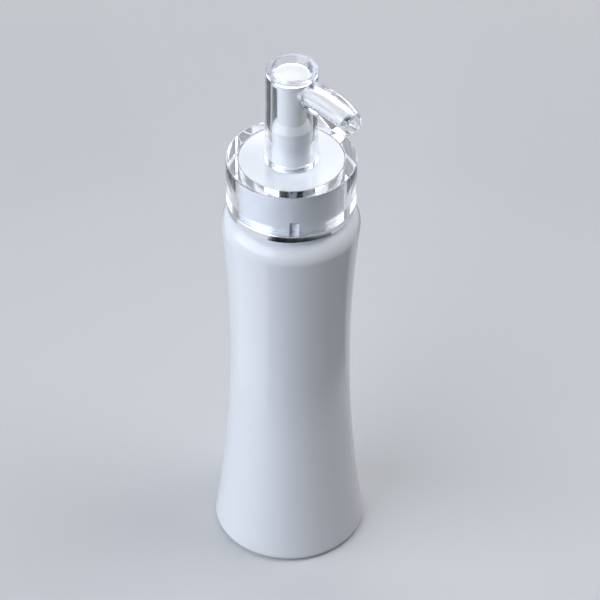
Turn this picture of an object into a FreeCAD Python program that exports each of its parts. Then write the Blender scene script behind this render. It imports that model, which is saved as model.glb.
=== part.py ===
import FreeCAD, Part
import math
import os

# Pump oil bottle, standing on z = 0 with its axis on Z and the beak towards +X.
# All lengths are in millimetres. The head is in its locked-down position.

# Bottle: one hollow arc from the foot to the shoulder
body_height = 146.2
waist_height = 82.7
waist_radius = 21.35
side_arc_radius = 540.0
shoulder_round = 8.1
foot_round = 2.2
foot_ring_width = 3.5
push_up_depth = 1.5
push_up_slope = 3.0
bottle_wall = 1.6
neck_height = 14.8
neck_wall = 1.75
neck_root_round = 1.0
thread_depth = 1.15
thread_clearance = 0.25

# Pump housing: cylinder, valve chamber and tube socket in one moulding
housing_bore = 6.0
housing_wall = 1.2
housing_flange = 1.0
neck_plug_wall = 1.4
neck_plug_depth = 4.0
neck_clearance = 0.4
gasket_thickness = 1.0
chamber_floor_thickness = 1.2
valve_wall = 1.2
inlet_radius = 1.3
inlet_length = 3.0
socket_depth = 8.0
socket_wall = 1.3
push_fit = 0.02

# Lock chimney: plugs into the housing, guides the stem, carries the lock
chimney_radius = 5.45
chimney_plug_depth = 4.0
chimney_flange = 0.8
chimney_flange_overhang = 2.5
lock_overlap = 0.4

# Valve balls and the cage over the inlet ball
inlet_ball_radius = 2.25
inlet_ball_lift = 1.5
outlet_ball_radius = 1.6
outlet_ball_lift = 1.2
inlet_ball_side_gap = 0.75
outlet_ball_side_gap = 0.3
ball_clearance = 0.1
ball_stop_clearance = 0.25
cage_thickness = 0.9
cage_rim_width = 2.3
cage_spoke_width = 1.2
cage_spoke_count = 3
cage_hub_radius = 1.3
cage_stop_length = 0.6

# Return spring, squeezed to its locked length
spring_length = 15.0
spring_wire = 0.8
spring_turns = 8
spring_side_gap = 1.3
spring_end_gap = 0.05

# Piston, stem and the plug in the foot of the stem
head_travel = 12.0
travel_end_gap = 0.3
piston_height = 6.0
piston_lip = 1.2
piston_groove = 0.8
piston_clearance = 0.05
stem_radius = 3.0
stem_clearance = 0.08
stem_flange = 1.0
stem_flange_overhang = 1.6
stem_channel = 1.3
plug_flange = 1.2
plug_spigot = 7.5
plug_pilot = 2.0
plug_bore = 0.9
plug_seat_depth = 0.5

# Dip tube
tube_radius = 2.5
tube_bore = 1.6
tube_floor_gap = 1.5

# Closure: threaded cap, white cover, plated ring and clear ring
cap_plate = 1.2
cap_wall = 1.2
cap_foot_gap = 1.4
deck_thickness = 1.2
deck_hole_gap = 0.3
grip_rib_depth = 3.35
grip_rib_width = 1.0
grip_rib_count = 12
cover_wall = 1.5
cover_foot_gap = 0.5
cover_edge_round = 0.35
trim_height = 3.0
trim_setback = 0.2
trim_foot_gap = 0.25
trim_edge_round = 0.5
ring_air_gap = 0.2
ring_seat_gap = 0.05
ring_wall = 4.1
ring_edge_round = 0.4
ring_small_round = 0.2
key_width = 2.9
key_height = 3.9
key_depth = 1.3
key_clearance = 0.15
key_angle = -45.0

# Pump head: clear shell and beak, white core and spout tube
head_height = 37.5
head_foot_gap = 0.2
skirt_gap = 0.3
skirt_wall = 1.0
skirt_roof = 1.7
skirt_headroom = 0.5
skirt_shoulder = 2.5
core_column_radius = 5.05
core_flange = 1.5
core_flange_setback = 0.05
core_flange_cone = 1.5
core_channel = 1.8
shell_air_gap = 0.1
shell_wall_top = 2.0
shell_wall_foot = 2.25
shell_lip = 0.15
shell_lip_height = 2.5
shell_rim_round = 0.45
dish_depth = 2.8
dish_rim_gap = 0.15
dish_ledge = 0.7
dish_ledge_width = 0.85
dish_seat_gap = 0.05
beak_reach = 27.3
beak_width = 8.4
beak_root_drop = 1.2
beak_crest_fall = 0.8
beak_nose_length = 10.8
beak_nose_drop = 6.0
beak_root_depth = 10.8
beak_tip_depth = 13.0
beak_arch_start = 14.0
beak_arch_end = 20.5
beak_arch_round = 9.0
beak_crest_round = 3.4
beak_keel_round = 0.7
spout_drop = 7.5
spout_crown = 8.0
spout_bend = 80.0
spout_radius = 2.5
spout_bore = 1.5
spout_gap = 0.15
spout_seat = 2.2
spout_end_gap = 2.9
stem_top_gap = 6.0

# Levels above the bottle, each piece standing on the one before
neck_top = body_height + neck_height
gasket_top = neck_top + gasket_thickness
housing_top = gasket_top + housing_flange
chimney_flange_top = housing_top + chimney_flange
cap_top = chimney_flange_top + cap_plate
deck_top = cap_top + deck_thickness
head_foot = deck_top + head_foot_gap
head_top = head_foot + head_height
core_top = head_top - dish_depth

# Levels down the pump, from the guide to the tube socket
chimney_foot = housing_top - chimney_plug_depth
chimney_top = head_foot + head_travel + lock_overlap
stem_flange_top = chimney_foot - travel_end_gap - head_travel
piston_top = stem_flange_top - stem_flange
piston_foot = piston_top - piston_height
spring_top = piston_foot - plug_flange
cage_top = spring_top - spring_length
chamber_floor = cage_top - cage_thickness
spout_root = head_top - spout_drop
stem_top = spout_root - stem_top_gap

# Radii, each piece fitted round or inside its neighbour
housing_outer = housing_bore + housing_wall
neck_plug_radius = housing_outer + neck_plug_wall
neck_bore = neck_plug_radius + neck_clearance
neck_radius = neck_bore + neck_wall
chimney_flange_radius = housing_bore + chimney_flange_overhang
stem_guide = stem_radius + stem_clearance
deck_hole = chimney_radius + deck_hole_gap
cap_bore = neck_radius + thread_depth + thread_clearance
cap_radius = cap_bore + cap_wall
cover_bore = cap_radius + grip_rib_depth
cover_radius = cover_bore + cover_wall
ring_bore = cover_radius + ring_air_gap
ring_radius = ring_bore + ring_wall
trim_radius = ring_radius - trim_setback
trim_foot = body_height + trim_foot_gap
trim_top = trim_foot + trim_height
cover_foot = trim_foot + cover_foot_gap
spring_mean = housing_bore - spring_side_gap - spring_wire / 2
stem_bore = outlet_ball_radius + outlet_ball_side_gap
valve_bore = inlet_ball_radius + inlet_ball_side_gap
skirt_bore = chimney_radius + skirt_gap
skirt_radius = skirt_bore + skirt_wall
skirt_roof_level = chimney_top + skirt_headroom
skirt_top = skirt_roof_level + skirt_roof
core_flange_radius = skirt_radius - core_flange_setback
shell_bore = skirt_radius + shell_air_gap
shell_radius_top = shell_bore + shell_wall_top
shell_radius_foot = shell_bore + shell_wall_foot

# A ball on a 45 degree seat touches it at this share of its radius, out and down
seat_share = math.sin(math.radians(45))

# Inlet valve levels: the ball's stop, the ball and its conical seat
ball_room = 2 * inlet_ball_radius + inlet_ball_lift + ball_stop_clearance
inlet_stop = chamber_floor - cage_stop_length
inlet_ball_level = inlet_stop - ball_room + inlet_ball_radius
inlet_touch = seat_share * inlet_ball_radius
seat_low = inlet_ball_level - ball_clearance - inlet_touch - (inlet_touch - inlet_radius)
seat_high = seat_low + valve_bore - inlet_radius
socket_top = seat_low - inlet_length
socket_foot = socket_top - socket_depth

# Outlet valve levels: the seat in the plug's spigot and the stop in the stem
spigot_top = piston_foot + plug_spigot
outlet_touch = seat_share * outlet_ball_radius
outlet_seat_low = spigot_top - plug_seat_depth
outlet_ball_level = outlet_seat_low + (outlet_touch - plug_bore) + outlet_touch + ball_clearance
outlet_stop = outlet_ball_level + outlet_ball_radius + outlet_ball_lift + ball_stop_clearance

# An edge to be rounded is known by its place, to within this distance
edge_match = 0.01

ORIGIN = FreeCAD.Vector(0, 0, 0)
FRONT = FreeCAD.Vector(1, 0, 0)
SIDE = FreeCAD.Vector(0, 1, 0)
UP = FreeCAD.Vector(0, 0, 1)


def point(radius, height):
    """A point of a half section."""
    return FreeCAD.Vector(radius, 0, height)


def turned(edges):
    """Solid of revolution about Z of a closed half section."""
    section = Part.Face(Part.Wire(edges))
    return section.revolve(ORIGIN, UP, 360)


def lathe(corners):
    """Solid of revolution about Z of a straight-sided half section."""
    points = [point(radius, height) for radius, height in corners]
    return turned(Part.makePolygon(points + points[:1]).Edges)


def ring_edges(shape, radius, height):
    """The circular edges of one radius at one level."""
    found = []
    for edge in shape.Edges:
        curve = edge.Curve
        if not isinstance(curve, Part.Circle):
            continue
        same_level = abs(edge.CenterOfMass.z - height) < edge_match
        if same_level and abs(curve.Radius - radius) < edge_match:
            found.append(edge)
    return found


def side_radius(height):
    """Outer radius of the bottle's hollow side."""
    drop = side_arc_radius ** 2 - (height - waist_height) ** 2
    return waist_radius + side_arc_radius - math.sqrt(drop)


def bottle_form(inset, floor, roof, neck):
    """Turned body between two levels, inset from the outer side, with its neck."""
    middle = (floor + roof) / 2
    side = Part.Arc(
        point(side_radius(floor) - inset, floor),
        point(side_radius(middle) - inset, middle),
        point(side_radius(roof) - inset, roof),
    )
    corners = [
        point(side_radius(roof) - inset, roof),
        point(neck, roof),
        point(neck, neck_top),
        point(0, neck_top),
        point(0, floor),
        point(side_radius(floor) - inset, floor),
    ]
    return turned([side.toShape()] + Part.makePolygon(corners).Edges)


def bottle():
    """Blow-moulded bottle: even wall, raised base and a plain neck."""
    outer = bottle_form(0, 0, body_height, neck_radius)
    shoulder = ring_edges(outer, side_radius(body_height), body_height)
    outer = outer.makeFillet(shoulder_round, shoulder)
    outer = outer.makeFillet(foot_round, ring_edges(outer, side_radius(0), 0))
    outer = outer.makeFillet(neck_root_round, ring_edges(outer, neck_radius, body_height))

    roof = body_height - bottle_wall
    inner = bottle_form(bottle_wall, bottle_wall, roof, neck_bore)
    shoulder = ring_edges(inner, side_radius(roof) - bottle_wall, roof)
    inner = inner.makeFillet(shoulder_round - bottle_wall, shoulder)
    foot = ring_edges(inner, side_radius(bottle_wall) - bottle_wall, bottle_wall)
    inner = inner.makeFillet(foot_round, foot)

    recess_radius = side_radius(0) - foot_round - foot_ring_width
    recess = lathe(raised_base(recess_radius, 0, push_up_depth))
    dome = lathe(raised_base(recess_radius + bottle_wall, bottle_wall, push_up_depth))
    return outer.cut(inner.cut(dome)).cut(recess)


def raised_base(radius, level, depth):
    """Half section of the raised middle of the base."""
    return [
        (0, level),
        (radius, level),
        (radius - push_up_slope, level + depth),
        (0, level + depth),
    ]


def neck_gasket():
    """Foamed sealing ring between the neck and the housing's flange."""
    inner = neck_plug_radius + push_fit
    return lathe([
        (inner, neck_top),
        (neck_radius, neck_top),
        (neck_radius, gasket_top),
        (inner, gasket_top),
    ])


def pump_housing():
    """Cylinder with its neck flange, valve seat and tube socket."""
    plug_foot = gasket_top - neck_plug_depth
    shoulder = chamber_floor - chamber_floor_thickness
    valve_outer = valve_bore + valve_wall
    socket_bore = tube_radius + push_fit
    return lathe([
        (housing_bore, housing_top),
        (neck_radius, housing_top),
        (neck_radius, gasket_top),
        (neck_plug_radius, gasket_top),
        (neck_plug_radius, plug_foot),
        (housing_outer, plug_foot - neck_plug_wall),
        (housing_outer, shoulder),
        (valve_outer, shoulder - chamber_floor_thickness),
        (valve_outer, seat_low),
        (socket_bore + socket_wall, socket_top),
        (socket_bore + socket_wall, socket_foot),
        (socket_bore, socket_foot),
        (socket_bore, socket_top),
        (inlet_radius, socket_top),
        (inlet_radius, seat_low),
        (valve_bore, seat_high),
        (valve_bore, chamber_floor),
        (housing_bore, chamber_floor),
    ])


def lock_chimney():
    """Stem guide plugged into the housing; the head's skirt drops over it."""
    plug = housing_bore - push_fit
    return lathe([
        (stem_guide, chimney_foot),
        (plug, chimney_foot),
        (plug, housing_top),
        (chimney_flange_radius, housing_top),
        (chimney_flange_radius, chimney_flange_top),
        (chimney_radius, chimney_flange_top),
        (chimney_radius, chimney_top),
        (stem_guide, chimney_top),
    ])


def ball_cage():
    """Spoked disc over the inlet ball, with a stop pin at its middle."""
    rim_radius = housing_bore - push_fit
    rim = lathe([
        (rim_radius - cage_rim_width, chamber_floor),
        (rim_radius, chamber_floor),
        (rim_radius, cage_top),
        (rim_radius - cage_rim_width, cage_top),
    ])
    hub = Part.makeCylinder(cage_hub_radius, cage_top - inlet_stop, point(0, inlet_stop))
    spoke = Part.makeBox(rim_radius - cage_rim_width / 2, cage_spoke_width, cage_thickness)
    spoke.translate(FreeCAD.Vector(0, -cage_spoke_width / 2, chamber_floor))
    spokes = []
    for number in range(cage_spoke_count):
        copy = spoke.copy()
        copy.rotate(ORIGIN, UP, number * 360 / cage_spoke_count)
        spokes.append(copy)
    return rim.fuse([hub] + spokes).removeSplitter()


def valve_ball(radius, level):
    """Polished ball of a check valve."""
    return Part.makeSphere(radius, point(0, level))


def dip_tube():
    """Suction tube from the socket to the floor, its end cut at 45 degrees."""
    floor = bottle_wall + push_up_depth + tube_floor_gap
    tube = lathe([
        (tube_bore, floor),
        (tube_radius, floor),
        (tube_radius, socket_top),
        (tube_bore, socket_top),
    ])
    side = 2 * tube_radius
    corner = FreeCAD.Vector(-tube_radius, -side, floor)
    wedge_points = [
        corner,
        corner + FreeCAD.Vector(side, 0, 0),
        corner + FreeCAD.Vector(side, 0, side),
    ]
    wedge = Part.Face(Part.makePolygon(wedge_points + wedge_points[:1]))
    return tube.cut(wedge.extrude(FreeCAD.Vector(0, 2 * side, 0)))


def helix_point(turn):
    """Centre of the spring's wire after so many turns, and its direction."""
    lift = spring_length - spring_wire - 2 * spring_end_gap
    angle = 2 * math.pi * turn
    rise = lift / spring_turns
    foot = cage_top + spring_wire / 2 + spring_end_gap
    place = FreeCAD.Vector(
        spring_mean * math.cos(angle),
        spring_mean * math.sin(angle),
        foot + rise * turn,
    )
    heading = FreeCAD.Vector(
        -spring_mean * math.sin(angle),
        spring_mean * math.cos(angle),
        rise / (2 * math.pi),
    )
    return place, heading.normalize()


def tangent_arc(start, corner, end):
    """Arc that leaves start towards the corner and arrives at end from it."""
    chord_middle = (start + end) / 2
    weight = (start - chord_middle).Length / (start - corner).Length
    middle = (chord_middle + corner * weight) / (1 + weight)
    return Part.Arc(start, middle, end).toShape()


def quarter_turn(turn):
    """Two arcs, tangent to each other and to the coil, over a quarter turn."""
    start, leaving = helix_point(turn)
    end, arriving = helix_point(turn + 0.25)
    chord = end - start
    bend = 2 * (1 - leaving.dot(arriving))
    along = chord.dot(leaving + arriving)
    reach = (math.sqrt(along ** 2 + bend * chord.dot(chord)) - along) / bend
    first = start + leaving * reach
    second = end - arriving * reach
    joint = (first + second) / 2
    return [tangent_arc(start, first, joint), tangent_arc(joint, second, end)]


def return_spring():
    """Stainless wire coil between the cage and the stem's plug."""
    path = []
    for quarter in range(4 * spring_turns):
        path.extend(quarter_turn(quarter / 4))
    place, heading = helix_point(0)
    section = Part.Wire(Part.Circle(place, heading, spring_wire / 2).toShape())
    coil = Part.Wire(path)
    print("spring gap between turns", round(coil_gap(coil), 3))
    return coil.makePipeShell([section], True, False)


def coil_gap(coil):
    """Least clear gap between one turn of the coil and the next."""
    steps_per_turn = 48
    points = coil.discretize(Number=spring_turns * steps_per_turn + 1)
    least = spring_length
    for index, here in enumerate(points):
        for other in points[index + steps_per_turn // 2:]:
            least = min(least, here.distanceToPoint(other))
    return least - spring_wire


def piston():
    """Soft piston with a wiping lip at each end."""
    radius = housing_bore - piston_clearance
    waist = radius - piston_groove
    low = piston_foot + piston_lip
    high = piston_top - piston_lip
    return lathe([
        (stem_guide, piston_foot),
        (radius, piston_foot),
        (radius, low),
        (waist, low + piston_groove),
        (waist, high - piston_groove),
        (radius, high),
        (radius, piston_top),
        (stem_guide, piston_top),
    ])


def pump_stem():
    """Hollow stem; its flange holds the piston and stops the stroke."""
    flange_radius = stem_radius + stem_flange_overhang
    return lathe([
        (stem_bore, piston_foot),
        (stem_radius, piston_foot),
        (stem_radius, piston_top),
        (flange_radius, piston_top),
        (flange_radius, stem_flange_top),
        (stem_radius, stem_flange_top),
        (stem_radius, stem_top),
        (stem_channel, stem_top),
        (stem_channel, outlet_stop),
        (stem_bore, outlet_stop),
    ])


def stem_plug():
    """Plug in the foot of the stem: holds the piston, seats spring and outlet ball."""
    spigot = stem_bore - push_fit
    pilot = spring_mean - spring_wire / 2 - spring_end_gap - stem_clearance
    flange_radius = spring_mean + spring_wire / 2
    seat_rim = plug_bore + plug_seat_depth
    return lathe([
        (plug_bore, spring_top - plug_pilot),
        (pilot, spring_top - plug_pilot),
        (pilot, spring_top),
        (flange_radius, spring_top),
        (flange_radius, piston_foot),
        (spigot, piston_foot),
        (spigot, spigot_top),
        (seat_rim, spigot_top),
        (plug_bore, outlet_seat_low),
    ])


def screw_cap():
    """Threaded closure that clamps the pump's flange on the neck."""
    foot = body_height + cap_foot_gap
    return lathe([
        (deck_hole, chimney_flange_top),
        (cap_bore, chimney_flange_top),
        (cap_bore, foot),
        (cap_radius, foot),
        (cap_radius, cap_top),
        (deck_hole, cap_top),
    ])


def inner_collar():
    """White cover over the cap, held on it by inner ribs, with the key's slot."""
    cover = lathe([
        (deck_hole, cap_top),
        (cover_bore, cap_top),
        (cover_bore, cover_foot),
        (cover_radius, cover_foot),
        (cover_radius, deck_top),
        (deck_hole, deck_top),
    ])
    cover = cover.makeFillet(cover_edge_round, ring_edges(cover, cover_radius, deck_top))
    rib_foot = body_height + cap_foot_gap
    rib_start = cap_radius + push_fit
    rib = Part.makeBox(
        cover_bore + cover_wall / 2 - rib_start,
        grip_rib_width,
        cap_top + deck_thickness / 2 - rib_foot,
    )
    rib.translate(FreeCAD.Vector(rib_start, -grip_rib_width / 2, rib_foot))
    ribs = []
    for number in range(grip_rib_count):
        copy = rib.copy()
        copy.rotate(ORIGIN, UP, (number + 0.5) * 360 / grip_rib_count + key_angle)
        ribs.append(copy)
    slot = key_block(key_clearance, cover_foot, cover_radius + key_depth)
    return cover.fuse(ribs).cut(slot).removeSplitter()


def key_block(clearance, foot, outer):
    """Block of the collar's key, grown by a clearance, from a level up."""
    width = key_width + 2 * clearance
    inner = ring_bore - key_depth - clearance
    top = trim_top + key_height + clearance
    block = Part.makeBox(outer - inner, width, top - foot)
    block.translate(FreeCAD.Vector(inner, -width / 2, foot))
    block.rotate(ORIGIN, UP, key_angle)
    return block


def trim_ring():
    """Plated ring pressed on the cover's foot; the clear ring stands on it."""
    inner = cover_radius + push_fit
    ring = lathe([
        (inner, trim_foot),
        (trim_radius, trim_foot),
        (trim_radius, trim_top),
        (inner, trim_top),
    ])
    outer_edges = ring_edges(ring, trim_radius, trim_foot)
    outer_edges.extend(ring_edges(ring, trim_radius, trim_top))
    return ring.makeFillet(trim_edge_round, outer_edges)


def outer_collar():
    """Thick clear ring round the white cover, with its inner key."""
    foot = trim_top + ring_seat_gap
    ring = lathe([
        (ring_bore, foot),
        (ring_radius, foot),
        (ring_radius, deck_top),
        (ring_bore, deck_top),
    ])
    small_edges = ring_edges(ring, ring_radius, foot)
    small_edges.extend(ring_edges(ring, ring_bore, deck_top))
    ring = ring.makeFillet(ring_edge_round, ring_edges(ring, ring_radius, deck_top))
    ring = ring.makeFillet(ring_small_round, small_edges)
    key = key_block(0, foot, ring_bore + ring_wall / 2)
    return ring.fuse(key).removeSplitter()


def spout_rod(radius, start, end):
    """Round bar bent on the spout's arc, between two distances from Z."""
    begin = math.degrees(math.asin((start - spout_crown) / spout_bend))
    finish = math.degrees(math.asin((end - spout_crown) / spout_bend))
    centre = point(spout_crown, spout_root - spout_bend)
    circle = Part.makeCircle(radius, point(spout_crown, spout_root), FRONT)
    section = Part.Face(Part.Wire(circle))
    section.rotate(centre, SIDE, begin)
    return section.revolve(centre, SIDE, finish - begin)


def spout_tube():
    """White tube from the core's socket to just inside the beak's end."""
    end = beak_reach - spout_end_gap
    outer = spout_rod(spout_radius, spout_seat, end)
    return outer.cut(spout_rod(spout_bore, spout_seat - spout_bore, end + spout_bore))


def actuator_core():
    """White core of the head: skirt over the chimney, column and top plate."""
    column_foot = skirt_top + skirt_shoulder
    flange_foot = core_top - core_flange
    stem_socket = stem_radius + push_fit
    core = lathe([
        (skirt_bore, head_foot),
        (skirt_radius, head_foot),
        (skirt_radius, skirt_top),
        (core_column_radius, column_foot),
        (core_column_radius, flange_foot - core_flange_cone),
        (core_flange_radius, flange_foot),
        (core_flange_radius, core_top),
        (0, core_top),
        (0, spout_root),
        (core_channel, spout_root),
        (core_channel, stem_top),
        (stem_socket, stem_top),
        (stem_socket, skirt_roof_level),
        (skirt_bore, skirt_roof_level),
    ])
    channel = spout_rod(spout_bore, 0, spout_seat)
    socket = spout_rod(spout_radius + push_fit, spout_seat, 2 * core_flange_radius)
    return core.cut(channel.fuse(socket))


def beak():
    """Side profile of the beak, given its width, with a rounded crest."""
    crest_root = head_top - beak_root_drop
    crest_front = crest_root - beak_crest_fall
    nose_start = beak_reach - beak_nose_length
    nose_end = head_top - beak_nose_drop
    root = point(0, crest_root)
    bend = point(nose_start, crest_front)
    nose = point(beak_reach, nose_end)
    crest = (bend - root).normalize()
    arc = Part.Edge(Part.Arc(bend, nose_middle(bend, nose, crest), nose))
    outline = [Part.makeLine(root, bend), arc]
    tip_level = head_top - beak_tip_depth
    root_level = head_top - beak_root_depth
    lower = [
        nose,
        point(beak_reach, tip_level),
        point(beak_arch_end, tip_level),
        point(beak_arch_start, root_level),
        point(0, root_level),
        root,
    ]
    outline.extend(Part.makePolygon(lower).Edges)
    side = Part.Face(Part.Wire(outline))
    side.translate(FreeCAD.Vector(0, -beak_width / 2, 0))
    body = side.extrude(FreeCAD.Vector(0, beak_width, 0))
    arch_edges = cross_edges(body, beak_arch_start) + cross_edges(body, beak_arch_end)
    body = body.makeFillet(beak_arch_round, arch_edges)
    crest_edges = []
    keel_edges = []
    for edge in body.Edges:
        middle = edge.CenterOfMass
        along = abs(middle.y) > beak_width / 2 - edge_match
        if not along or middle.x < edge_match or abs(middle.x - beak_reach) < edge_match:
            continue
        if middle.z > nose_end:
            crest_edges.append(edge)
        else:
            keel_edges.append(edge)
    body = body.makeFillet(beak_crest_round, crest_edges)
    return body.makeFillet(beak_keel_round, keel_edges)


def cross_edges(body, distance):
    """The edges across the beak, from side to side, at one distance from Z."""
    found = []
    for edge in body.Edges:
        middle = edge.CenterOfMass
        if abs(middle.x - distance) < edge_match and abs(middle.y) < edge_match:
            found.append(edge)
    return found


def nose_middle(bend, nose, crest):
    """Middle of the arc that leaves the crest at the bend and ends at the nose."""
    chord = nose - bend
    across = FreeCAD.Vector(chord.z, 0, -chord.x).normalize()
    turn = crest.getAngle(chord)
    rise = chord.Length / 2 * math.tan(turn / 2)
    return (bend + nose) / 2 - across * rise


def actuator_shell():
    """Clear head: thick tube with a finger dish, a foot lip and the beak."""
    lip_radius = shell_radius_foot + shell_lip
    lip_top = head_foot + shell_lip_height
    dish_radius = shell_bore + dish_rim_gap
    ledge_radius = shell_bore - dish_ledge_width
    tube = lathe([
        (0, head_foot),
        (lip_radius, head_foot),
        (lip_radius, lip_top - shell_lip),
        (shell_radius_foot, lip_top),
        (shell_radius_top, head_top),
        (0, head_top),
    ])
    tube = tube.fuse(beak()).removeSplitter()
    rim = ring_edges(tube, shell_radius_top, head_top)
    tube = tube.makeFillet(shell_rim_round, rim)
    bore_height = core_top + dish_seat_gap - head_foot
    bore = Part.makeCylinder(shell_bore, bore_height, point(0, head_foot))
    dish = lathe([
        (0, core_top),
        (ledge_radius, core_top),
        (ledge_radius, core_top + dish_ledge),
        (dish_radius, head_top),
        (0, head_top),
    ])
    outlet = spout_rod(spout_radius + spout_gap, 0, 2 * beak_reach)
    return tube.cut(bore.fuse([dish, outlet]))


pieces = {
    "bottle": bottle(),
    "neck_gasket": neck_gasket(),
    "pump_housing": pump_housing(),
    "lock_chimney": lock_chimney(),
    "ball_cage": ball_cage(),
    "inlet_ball": valve_ball(inlet_ball_radius, inlet_ball_level),
    "dip_tube": dip_tube(),
    "return_spring": return_spring(),
    "piston": piston(),
    "pump_stem": pump_stem(),
    "stem_plug": stem_plug(),
    "outlet_ball": valve_ball(outlet_ball_radius, outlet_ball_level),
    "screw_cap": screw_cap(),
    "inner_collar": inner_collar(),
    "trim_ring": trim_ring(),
    "outer_collar": outer_collar(),
    "actuator_core": actuator_core(),
    "spout_tube": spout_tube(),
    "actuator_shell": actuator_shell(),
}

os.makedirs("parts", exist_ok=True)
for name, shape in pieces.items():
    shape.exportStep("parts/" + name + ".step")
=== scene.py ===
import math

import bmesh
import bpy
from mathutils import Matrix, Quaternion, Vector


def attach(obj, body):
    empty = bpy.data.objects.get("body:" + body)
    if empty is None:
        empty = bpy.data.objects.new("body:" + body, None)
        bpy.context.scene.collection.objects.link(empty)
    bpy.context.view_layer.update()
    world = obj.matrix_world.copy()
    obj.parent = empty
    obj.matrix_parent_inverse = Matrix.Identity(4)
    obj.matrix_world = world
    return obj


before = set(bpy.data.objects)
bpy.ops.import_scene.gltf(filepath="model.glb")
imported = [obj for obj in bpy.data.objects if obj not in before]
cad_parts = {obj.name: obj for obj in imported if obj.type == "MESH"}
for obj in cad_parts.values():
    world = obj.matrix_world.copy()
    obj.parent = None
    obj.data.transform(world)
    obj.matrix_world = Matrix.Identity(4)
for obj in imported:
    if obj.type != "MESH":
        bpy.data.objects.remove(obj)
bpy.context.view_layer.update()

# Bottle: blow-moulded in one piece from white polypropylene, with a hollow
# waist, a raised base and a neck for the closure. It carries all the rest.


def linear(hex_colour):
    """An sRGB hex colour as linear red, green, blue and alpha."""
    values = []
    for place in (1, 3, 5):
        share = int(hex_colour[place:place + 2], 16) / 255
        if share <= 0.04045:
            values.append(share / 12.92)
        else:
            values.append(((share + 0.055) / 1.055) ** 2.4)
    return (*values, 1.0)


def add(tree, kind, inputs=None, **settings):
    """Adds a node with its settings; an input takes a value or a link."""
    node = tree.nodes.new(kind)
    for name, value in settings.items():
        setattr(node, name, value)
    for name, value in (inputs or {}).items():
        socket = node.inputs[name]
        if isinstance(value, bpy.types.NodeSocket):
            tree.links.new(value, socket)
        else:
            socket.default_value = value
    return node


def empty_material(name):
    """A material whose tree holds nothing but its output."""
    material = bpy.data.materials.new(name)
    material.use_nodes = True
    material.node_tree.nodes.clear()
    add(material.node_tree, "ShaderNodeOutputMaterial")
    return material


def show(tree, shader):
    """Links a finished shader to the material's output."""
    output = tree.nodes["Material Output"]
    tree.links.new(shader.outputs[0], output.inputs["Surface"])


def per_metre(size_mm):
    """The texture scale at which one feature of a pattern has this size."""
    return 1000 / size_mm


def dress(node_name, material):
    """Gives a whole CAD node one finish."""
    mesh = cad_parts[node_name].data
    mesh.materials.clear()
    mesh.materials.append(material)


# All the plastics here bend light by about the same amount. A moulding's
# roughness strays from its mean by this share, from the ripple's low level to
# its high one.
plastic_ior = 1.49
plastic_roughness_spread = 0.15
ripple_low = 0.3
ripple_high = 0.7


def moulded_plastic(name, colour, shade, roughness, ripple_mm, ripple_depth_mm):
    """Moulded thermoplastic: an even colour, a gloss that varies a little with
    the mould's polish, and a faint ripple that bends the reflections."""
    material = empty_material(name)
    tree = material.node_tree
    place = add(tree, "ShaderNodeTexCoord").outputs["Object"]
    ripple = add(tree, "ShaderNodeTexNoise", {
        "Vector": place,
        "Scale": per_metre(ripple_mm),
        "Detail": 2.0,
    }).outputs["Fac"]
    tint = add(tree, "ShaderNodeMix", {
        "Factor": ripple,
        "A": linear(colour),
        "B": linear(shade),
    }, data_type="RGBA")
    polish = add(tree, "ShaderNodeMapRange", {
        "Value": ripple,
        "From Min": ripple_low,
        "From Max": ripple_high,
        "To Min": roughness * (1 - plastic_roughness_spread),
        "To Max": roughness * (1 + plastic_roughness_spread),
    })
    relief = add(tree, "ShaderNodeBump", {
        "Height": ripple,
        "Strength": 1.0,
        "Distance": ripple_depth_mm / 1000,
    })
    surface = add(tree, "ShaderNodeBsdfPrincipled", {
        "Base Color": tint.outputs["Result"],
        "Roughness": polish.outputs["Result"],
        "IOR": plastic_ior,
        "Normal": relief.outputs["Normal"],
    })
    show(tree, surface)
    return material


# Blown polypropylene cools against a polished mould: a clean cold white, softly
# glossy, with a slow ripple in what it reflects.
bottle_white = moulded_plastic(
    "blown_white_polypropylene", "#EBEEF4", "#E9ECF2",
    roughness=0.14, ripple_mm=30.0, ripple_depth_mm=0.003,
)
dress("bottle", bottle_white)

# Neck thread: one ridge wound round the neck, part of the blown bottle and of
# the same white, which the cap screws down on. It runs out at both ends.
thread_foot = 0.1516
thread_pitch = 0.003175
thread_turns = 2.0
thread_root_radius = 0.01065
thread_crest_radius = 0.0119
thread_root_width = 0.0021
thread_crest_width = 0.0008
thread_fade_turns = 0.2
thread_edge_round = 0.00025
thread_edge_steps = 2
sections_per_turn = 72


def thread_section(ridge, turn):
    """One cross section of the ridge, lower where the thread runs out."""
    from_end = min(turn, thread_turns - turn)
    share = min(1.0, from_end / thread_fade_turns)
    full_rise = thread_crest_radius - thread_root_radius
    crest = thread_root_radius + full_rise * math.sin(share * math.pi / 2)
    level = thread_foot + thread_pitch * turn
    angle = 2 * math.pi * turn
    corners = (
        (thread_root_radius, -thread_root_width / 2),
        (crest, -thread_crest_width / 2),
        (crest, thread_crest_width / 2),
        (thread_root_radius, thread_root_width / 2),
    )
    section = []
    for radius, rise in corners:
        corner = (radius * math.cos(angle), radius * math.sin(angle), level + rise)
        section.append(ridge.verts.new(corner))
    return section


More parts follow.
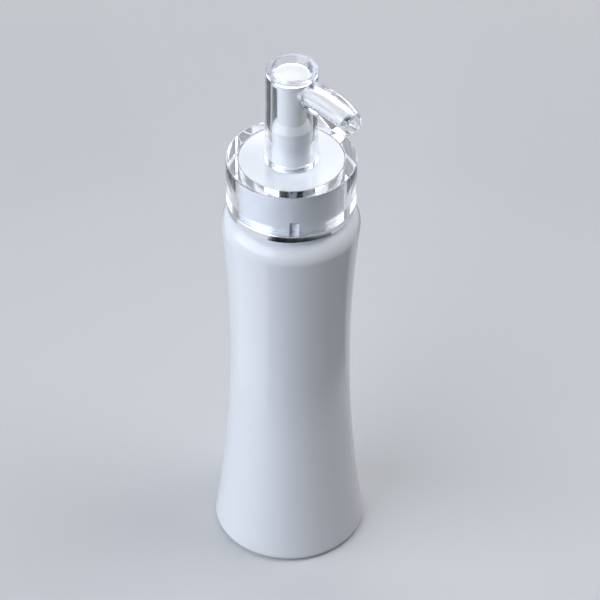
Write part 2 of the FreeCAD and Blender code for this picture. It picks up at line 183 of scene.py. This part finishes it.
ridge = bmesh.new()
last = None
for step in range(int(thread_turns * sections_per_turn) + 1):
    section = thread_section(ridge, step / sections_per_turn)
    if last:
        for side in range(len(section)):
            ridge.faces.new((last[side], section[side], section[side - 1], last[side - 1]))
    else:
        ridge.faces.new(section)
    last = section
ridge.faces.new(reversed(last))
bmesh.ops.recalc_face_normals(ridge, faces=ridge.faces)
thread_mesh = bpy.data.meshes.new("neck_thread")
ridge.to_mesh(thread_mesh)
ridge.free()
thread_mesh.shade_smooth()
thread_mesh.materials.append(bottle_white)
neck_thread = bpy.data.objects.new("neck_thread", thread_mesh)
bpy.context.scene.collection.objects.link(neck_thread)
edge_round = neck_thread.modifiers.new("edge_round", "BEVEL")
edge_round.width = thread_edge_round
edge_round.segments = thread_edge_steps
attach(neck_thread, "bottle")

# Pump mouldings: polypropylene and polyethylene parts that snap together below
# the neck, with the dip tube pushed in at the foot and a gasket under the cap.

# Natural polypropylene is a milky, slightly green white with a half gloss.
natural_white = moulded_plastic(
    "natural_polypropylene", "#E3E5E2", "#D8DBD8",
    roughness=0.42, ripple_mm=4.0, ripple_depth_mm=0.02,
)
for name in ("pump_housing", "lock_chimney", "ball_cage", "pump_stem", "stem_plug"):
    dress(name, natural_white)

# Soft polyethylene is duller and a little blue, as the lips of a seal are.
dress("piston", moulded_plastic(
    "soft_polyethylene", "#DDE2E5", "#D2D8DC",
    roughness=0.5, ripple_mm=3.0, ripple_depth_mm=0.02,
))

# Extruded polyethylene has a waxy sheen, and small ripples from the die.
dress("dip_tube", moulded_plastic(
    "extruded_polyethylene", "#E6E9E9", "#DCE1E2",
    roughness=0.38, ripple_mm=2.5, ripple_depth_mm=0.02,
))

# Foamed polyethylene is dull and pitted with fine cells.
dress("neck_gasket", moulded_plastic(
    "foamed_polyethylene", "#DDDCD9", "#CBCAC6",
    roughness=0.85, ripple_mm=0.6, ripple_depth_mm=0.08,
))

# Spring and valve balls: stainless steel, wound from drawn wire and ground to
# balls. They lie loose in the pump, between the mouldings that hold them.
metal_roughness_spread = 0.3


def bare_metal(name, colour, shade, roughness, streak_mm, stretch):
    """Metal with fine streaks left by drawing or polishing."""
    material = empty_material(name)
    tree = material.node_tree
    place = add(tree, "ShaderNodeTexCoord").outputs["Object"]
    spread = add(tree, "ShaderNodeMapping", {
        "Vector": place,
        "Scale": (1.0, 1.0, stretch),
    })
    streak = add(tree, "ShaderNodeTexNoise", {
        "Vector": spread.outputs["Vector"],
        "Scale": per_metre(streak_mm),
        "Detail": 4.0,
    }).outputs["Fac"]
    tint = add(tree, "ShaderNodeMix", {
        "Factor": streak,
        "A": linear(colour),
        "B": linear(shade),
    }, data_type="RGBA")
    polish = add(tree, "ShaderNodeMapRange", {
        "Value": streak,
        "To Min": roughness * (1 - metal_roughness_spread),
        "To Max": roughness * (1 + metal_roughness_spread),
    })
    surface = add(tree, "ShaderNodeBsdfPrincipled", {
        "Base Color": tint.outputs["Result"],
        "Metallic": 1.0,
        "Roughness": polish.outputs["Result"],
    })
    show(tree, surface)
    return material


# Drawn stainless wire is a bright grey, softened by faint streaks.
dress("return_spring", bare_metal(
    "drawn_stainless_wire", "#C6C8CA", "#B4B6B9",
    roughness=0.25, streak_mm=0.5, stretch=0.2,
))

# A polished stainless ball mirrors what is round it, with hardly a trace of
# its grinding.
valve_steel = bare_metal(
    "polished_stainless_ball", "#CDCFD1", "#C3C5C8",
    roughness=0.1, streak_mm=0.8, stretch=1.0,
)
dress("inlet_ball", valve_steel)
dress("outlet_ball", valve_steel)

# Closure: a white cap screwed on the neck, hidden by a polished white cover
# that is pressed over it.

# Plain moulded polypropylene is an even white with a half gloss.
dress("screw_cap", moulded_plastic(
    "white_cap_polypropylene", "#E9EAE9", "#E1E3E2",
    roughness=0.4, ripple_mm=4.0, ripple_depth_mm=0.015,
))

# Polished ABS is a clear cold white that reflects as sharply as glaze.
dress("inner_collar", moulded_plastic(
    "polished_white_abs", "#EDF2FA", "#EAEFF8",
    roughness=0.06, ripple_mm=14.0, ripple_depth_mm=0.003,
))

# Trim ring: a plastic ring with a bright metal plating, pressed on the foot
# of the cover, between the bottle and the clear collar.

# Bright plating is a pale mirror, in which the cards on the floor show as narrow bands: painted
# reflections, dark from the black card in front.
dress("trim_ring", bare_metal(
    "bright_plating", "#DFE2E6", "#D6DADF",
    roughness=0.05, streak_mm=2.0, stretch=1.0,
))

# Clear collar: a thick ring of polished acrylic dropped over the cover and
# held by its key; a thin air gap behind it mirrors its edges.
acrylic_roughest = 0.02
acrylic_density = 14.0


def clear_plastic(name, deep_tint, flow_mm, flow_depth_mm):
    """Polished clear acrylic, with the faint flow lines of a thick moulding."""
    material = empty_material(name)
    tree = material.node_tree
    place = add(tree, "ShaderNodeTexCoord").outputs["Object"]
    flow = add(tree, "ShaderNodeTexNoise", {
        "Vector": place,
        "Scale": per_metre(flow_mm),
        "Detail": 1.0,
    }).outputs["Fac"]
    polish = add(tree, "ShaderNodeMapRange", {
        "Value": flow,
        "To Min": 0.0,
        "To Max": acrylic_roughest,
    })
    relief = add(tree, "ShaderNodeBump", {
        "Height": flow,
        "Strength": 1.0,
        "Distance": flow_depth_mm / 1000,
    })
    surface = add(tree, "ShaderNodeBsdfPrincipled", {
        "Base Color": linear("#FFFFFF"),
        "Transmission Weight": 1.0,
        "IOR": plastic_ior,
        "Roughness": polish.outputs["Result"],
        "Normal": relief.outputs["Normal"],
    })
    show(tree, surface)
    depth = add(tree, "ShaderNodeVolumeAbsorption", {
        "Color": linear(deep_tint),
        "Density": acrylic_density,
    })
    tree.links.new(depth.outputs[0], tree.nodes["Material Output"].inputs["Volume"])
    return material


# Acrylic is as clear as glass, with bright edges, and a faint cold grey where
# the eye looks through much of it.
clear_acrylic = clear_plastic(
    "polished_clear_acrylic", deep_tint="#CBCFDE", flow_mm=12.0, flow_depth_mm=0.002,
)
dress("outer_collar", clear_acrylic)

# Light is mirrored many times inside the thick clear pieces before it leaves,
# and what they show stays sharp.
light_paths = bpy.context.scene.cycles
light_paths.max_bounces = 128
light_paths.glossy_bounces = 96
light_paths.transmission_bounces = 64
light_paths.blur_glossy = 0.0

# Pump head: a moulded white core with its spout tube, pressed into a clear
# acrylic shell with the finger dish and the beak, and pushed on the stem.

# Satin ABS is a soft white with a broad, weak gloss.
core_white = moulded_plastic(
    "satin_white_abs", "#F2F5F9", "#EDF1F6",
    roughness=0.22, ripple_mm=8.0, ripple_depth_mm=0.006,
)
dress("actuator_core", core_white)
dress("spout_tube", core_white)
dress("actuator_shell", clear_acrylic)

# Floor: a wide sheet of matt paper that the bottle stands on. It isn't part of
# the object, and has no edge that the eye could find.
floor_reach = 6.0
paper_plain_reach = 0.2
paper_haze_reach = 0.55
paper_to_eye = "#D2D4D7"
paper_to_object = "#8C8C8A"
sky_colour = linear("#F4F6FA")
sky_to_eye = 0.68


def sheet(name, corners):
    """A flat sheet with these corners in order."""
    mesh = bpy.data.meshes.new(name)
    mesh.from_pydata(corners, [], [tuple(range(len(corners)))])
    made = bpy.data.objects.new(name, mesh)
    bpy.context.scene.collection.objects.link(made)
    return made


floor = sheet("floor", [
    (-floor_reach, -floor_reach, 0.0),
    (floor_reach, -floor_reach, 0.0),
    (floor_reach, floor_reach, 0.0),
    (-floor_reach, floor_reach, 0.0),
])


def seen_by_eye(tree):
    """Is 1 for a ray that the eye follows, also by way of mirrors and clear
    plastic, and 0 for one that has met a dull surface."""
    ray = add(tree, "ShaderNodeLightPath").outputs
    seen = ray["Is Camera Ray"]
    for kind in ("Is Glossy Ray", "Is Transmission Ray"):
        seen = add(tree, "ShaderNodeMath", {0: seen, 1: ray[kind]}, operation="ADD").outputs[0]
    direct = add(tree, "ShaderNodeMath", {
        0: ray["Diffuse Depth"],
        1: 1.0,
    }, operation="LESS_THAN").outputs[0]
    return add(tree, "ShaderNodeMath", {0: seen, 1: direct}, operation="MULTIPLY").outputs[0]


# Matt paper looks pale to the eye, and throws only a little light back up.
# Further out it glows as pale as the sky, so that the two meet unseen.
paper = empty_material("matt_paper")
tree = paper.node_tree
seen = seen_by_eye(tree)
paper_tone = add(tree, "ShaderNodeMix", {
    "Factor": seen,
    "A": linear(paper_to_object),
    "B": linear(paper_to_eye),
}, data_type="RGBA")
near_paper = add(tree, "ShaderNodeBsdfPrincipled", {
    "Base Color": paper_tone.outputs["Result"],
    "Roughness": 0.9,
})
place = add(tree, "ShaderNodeTexCoord").outputs["Object"]
reach = add(tree, "ShaderNodeVectorMath", {0: place}, operation="LENGTH").outputs["Value"]
haze = add(tree, "ShaderNodeMapRange", {
    "Value": reach,
    "From Min": paper_plain_reach,
    "From Max": paper_haze_reach,
}, interpolation_type="SMOOTHSTEP").outputs["Result"]
far_share = add(tree, "ShaderNodeMath", {0: haze, 1: seen}, operation="MULTIPLY")
far_paper = add(tree, "ShaderNodeEmission", {"Color": sky_colour, "Strength": sky_to_eye})
show(tree, add(tree, "ShaderNodeMixShader", {
    0: far_share.outputs[0],
    1: near_paper.outputs[0],
    2: far_paper.outputs[0],
}))
floor.data.materials.append(paper)

# Camera: a long lens that looks down on the bottle from the photograph's
# angle. Cards and lamps are placed as seen from here.
camera_azimuth = math.radians(41.7)
camera_reach = 0.8915
camera_height = 0.8589
aim_height = 0.1026
aim_aside = 0.0033
camera_roll = math.radians(0.49)
lens_mm = 198.6
sensor_mm = 36.0
towards_camera = Vector((math.sin(camera_azimuth), -math.cos(camera_azimuth), 0))
rightwards = Vector((math.cos(camera_azimuth), math.sin(camera_azimuth), 0))
upwards = Vector((0, 0, 1))
camera_place = towards_camera * camera_reach + upwards * camera_height
sight = rightwards * aim_aside + upwards * aim_height - camera_place
camera = bpy.data.objects.new("camera", bpy.data.cameras.new("camera"))
camera.data.lens = lens_mm
camera.data.sensor_width = sensor_mm
camera.location = camera_place
camera.rotation_mode = "QUATERNION"
camera.rotation_quaternion = sight.to_track_quat("-Z", "Y") @ Quaternion((0, 0, 1), camera_roll)
bpy.context.scene.collection.objects.link(camera)
bpy.context.scene.camera = camera
bpy.context.scene.view_settings.view_transform = "Standard"

# Cards, out of the picture and hidden from light, which only the bright ring and the clear
# pieces show, as painted reflections: black and white ones on the floor in front and at the
# sides, grey ones on the floor behind and upright all round, and two black ones behind the
# camera.
floor_card_near = 0.1
floor_card_far = 0.1976
floor_card_far_shift = 0.0072
floor_card_shift_turn = -20
floor_card_steps = 24
white_card_rise = 0.001
dark_card_rise = 0.002
front_card_taper_turn = -23
front_card_taper = 0.00031
side_card_far = 0.185
back_card_near = 0.206
back_card_far = 0.45
wall_card_count = 8
wall_card_half_turn = 5
wall_card_reach = 0.6
wall_card_height = 0.45
camera_card_width = 0.48
camera_card_height = 0.5
camera_card_gap = 0.3
camera_card_behind = 1.15

# Black velvet swallows nearly all light, also at a flat angle.
velvet = empty_material("black_velvet")
show(velvet.node_tree, add(velvet.node_tree, "ShaderNodeBsdfPrincipled", {
    "Base Color": linear("#0A0A0C"),
    "Roughness": 1.0,
    "Specular IOR Level": 0.0,
}))

# Grey card is dull, and dark enough to draw a soft edge in clear plastic. Light
# on its way to a dull surface passes it, so that it takes none from the object.
grey_card = empty_material("grey_card")
tree = grey_card.node_tree
dull_face = add(tree, "ShaderNodeBsdfPrincipled", {
    "Base Color": linear("#4A4C50"),
    "Roughness": 1.0,
    "Specular IOR Level": 0.0,
})
show(tree, add(tree, "ShaderNodeMixShader", {
    0: seen_by_eye(tree),
    1: add(tree, "ShaderNodeBsdfTransparent").outputs[0],
    2: dull_face.outputs[0],
}))

# White card glows an even white of its own, wherever it stands, though it is no lamp: it paints
# bright reflections in the ring and the clear pieces.
white_card = empty_material("white_card")
show(white_card.node_tree, add(white_card.node_tree, "ShaderNodeEmission", {
    "Color": linear("#F6F8FA"),
    "Strength": 1.0,
}))


def around(turn, reach):
    """A point at floor level, turned from the camera to the right, in degrees."""
    angle = math.radians(turn)
    return (towards_camera * math.cos(angle) + rightwards * math.sin(angle)) * reach


def hidden_card(name, corners, material, in_mirrors=True):
    """A card that only mirrors and clear pieces show, or clear pieces alone."""
    card = sheet(name, corners)
    card.visible_camera = False
    card.visible_diffuse = False
    card.visible_shadow = False
    card.visible_glossy = in_mirrors
    card.data.materials.append(material)


def floor_card(name, material, left, right, near, far, rise, taper=0.0):
    """A card on the floor, part of a ring round the bottle. A tapered one grows
    narrower towards its left end, by so much for each degree."""
    near_edge = []
    far_edge = []
    far_middle = around(floor_card_shift_turn, floor_card_far_shift)
    for step in range(floor_card_steps + 1):
        turn = left + (right - left) * step / floor_card_steps
        reach = far - taper * max(0.0, front_card_taper_turn - turn)
        near_edge.append(around(turn, near) + upwards * rise)
        far_edge.append(around(turn, reach) + far_middle + upwards * rise)
    hidden_card(name, near_edge + far_edge[::-1], material)


floor_card(
    "floor_card_left", white_card, left=-110, right=-20,
    near=floor_card_near, far=floor_card_far, rise=white_card_rise,
)
# The black card in front is a painted reflection: the dark band in the bright ring.
floor_card(
    "floor_card_front", velvet, left=-41, right=75,
    near=floor_card_near, far=floor_card_far, rise=dark_card_rise, taper=front_card_taper,
)
floor_card(
    "floor_card_right", white_card, left=75, right=120,
    near=floor_card_near, far=floor_card_far, rise=white_card_rise,
)
floor_card(
    "floor_card_side", velvet, left=75, right=120,
    near=floor_card_near, far=side_card_far, rise=dark_card_rise,
)
floor_card(
    "floor_card_back_left", grey_card, left=-165, right=-125,
    near=back_card_near, far=back_card_far, rise=dark_card_rise,
)
floor_card(
    "floor_card_back_right", grey_card, left=125, right=165,
    near=back_card_near, far=back_card_far, rise=dark_card_rise,
)
for number in range(wall_card_count):
    middle = 360 / wall_card_count * (number + 0.5)
    foot = [around(middle + side * wall_card_half_turn, wall_card_reach) for side in (-1, 1)]
    head = [corner + upwards * wall_card_height for corner in reversed(foot)]
    hidden_card("wall_card_" + str(number), foot + head, grey_card, in_mirrors=False)
# The two black cards behind the camera paint dark reflections in the bright and clear pieces.
card_up = camera_place.cross(rightwards).normalized() * camera_card_height / 2
for name, side in (("left_card", -1), ("right_card", 1)):
    inner = camera_place * camera_card_behind + rightwards * side * camera_card_gap / 2
    outer = inner + rightwards * side * camera_card_width
    corners = [inner - card_up, outer - card_up, outer + card_up, inner + card_up]
    hidden_card(name, corners, velvet)

# Lamps: a broad soft panel low on the left, small ones above and on the right,
# a strip on the right, and a small lamp and a broad panel behind.
lamp_aim_height = 0.14


def lamp(name, turn, rise, distance, width, height, watts, colour):
    """A soft lamp aimed at the pump, turned from the camera and raised, in degrees."""
    flat = around(turn, math.cos(math.radians(rise)))
    way = flat + upwards * math.sin(math.radians(rise))
    light = bpy.data.lights.new(name, "AREA")
    light.shape = "RECTANGLE"
    light.size = width
    light.size_y = height
    light.energy = watts
    light.color = linear(colour)[:3]
    made = bpy.data.objects.new(name, light)
    made.location = upwards * lamp_aim_height + way * distance
    made.rotation_mode = "QUATERNION"
    made.rotation_quaternion = way.to_track_quat("Z", "Y")
    made.visible_camera = False
    bpy.context.scene.collection.objects.link(made)


lamp(
    "key_lamp", turn=-60, rise=18, distance=1.4,
    width=2.0, height=1.2, watts=24.5, colour="#EFF5FF",
)
lamp(
    "top_lamp", turn=0, rise=88, distance=0.7,
    width=0.6, height=0.6, watts=1.75, colour="#FFFFFF",
)
lamp(
    "right_lamp", turn=95, rise=50, distance=0.6,
    width=0.4, height=0.4, watts=1.5, colour="#F8FAFF",
)
lamp(
    "strip_lamp", turn=105, rise=22, distance=1.4,
    width=1.4, height=0.14, watts=1.7, colour="#FFFFFF",
)
lamp(
    "back_lamp", turn=180, rise=38, distance=1.4,
    width=0.4, height=0.36, watts=0.8, colour="#FFF8EC",
)
lamp(
    "fill_lamp", turn=180, rise=22, distance=1.4,
    width=2.4, height=1.2, watts=9.0, colour="#F8FAFF",
)

# Sky: pale to the eye, also in mirrors and through clear plastic, and darker
# towards the ceiling. It lights the object little: a ray that has met a dull
# surface finds it dim.
sky_to_object = 0.02
ceiling_to_eye = 0.3
ceiling_start = 0.2
ceiling_full = 0.7
world = bpy.data.worlds.new("studio")
bpy.context.scene.world = world
world.use_nodes = True
tree = world.node_tree
tree.nodes.clear()
direction = add(tree, "ShaderNodeTexCoord").outputs["Generated"]
height = add(tree, "ShaderNodeSeparateXYZ", {"Vector": direction}).outputs["Z"]
ceiling = add(tree, "ShaderNodeMapRange", {
    "Value": height,
    "From Min": ceiling_start,
    "From Max": ceiling_full,
    "To Min": sky_to_eye,
    "To Max": ceiling_to_eye,
})
sky = add(tree, "ShaderNodeMapRange", {
    "Value": seen_by_eye(tree),
    "To Min": sky_to_object,
    "To Max": ceiling.outputs["Result"],
})
backdrop = add(tree, "ShaderNodeBackground", {
    "Color": sky_colour,
    "Strength": sky.outputs["Result"],
})
add(tree, "ShaderNodeOutputWorld", {"Surface": backdrop.outputs[0]})
